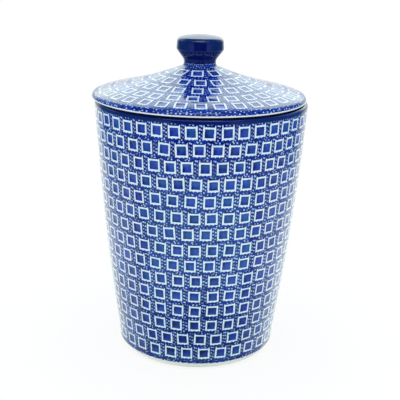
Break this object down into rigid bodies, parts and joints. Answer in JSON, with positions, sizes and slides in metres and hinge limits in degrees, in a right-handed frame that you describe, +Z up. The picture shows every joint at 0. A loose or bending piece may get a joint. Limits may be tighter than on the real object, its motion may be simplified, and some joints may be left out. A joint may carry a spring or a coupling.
{
  "type": "storage jar",
  "caption": "Tapered stoneware storage jar with a low conical lift-off lid and a round knob, glazed blue all over with rows of stamped hollow squares.",
  "frame": {"origin": "centre of the foot ring's underside, on the surface that the jar stands on", "axes": "+Z up along the jar's axis, -Y towards the side that the picture shows, +X to the right of that view"},
  "size_m": [0.1416, 0.1402, 0.2121],
  "materials": {
    "stamped_glaze": "gloss",
    "stamped_lid_glaze": "gloss",
    "navy_glaze": "gloss"
  },
  "bodies": {
    "jar": {"jar_body": "stamped_glaze"},
    "lid_with_knob": {"lid": "stamped_lid_glaze", "knob": "navy_glaze"}
  },
  "joints": [
    {"name": "lid_lift", "type": "slide", "parent": "jar", "child": "lid_with_knob", "axis": [0, 0, 1], "range_m": [0, 0.15]}
  ]
}
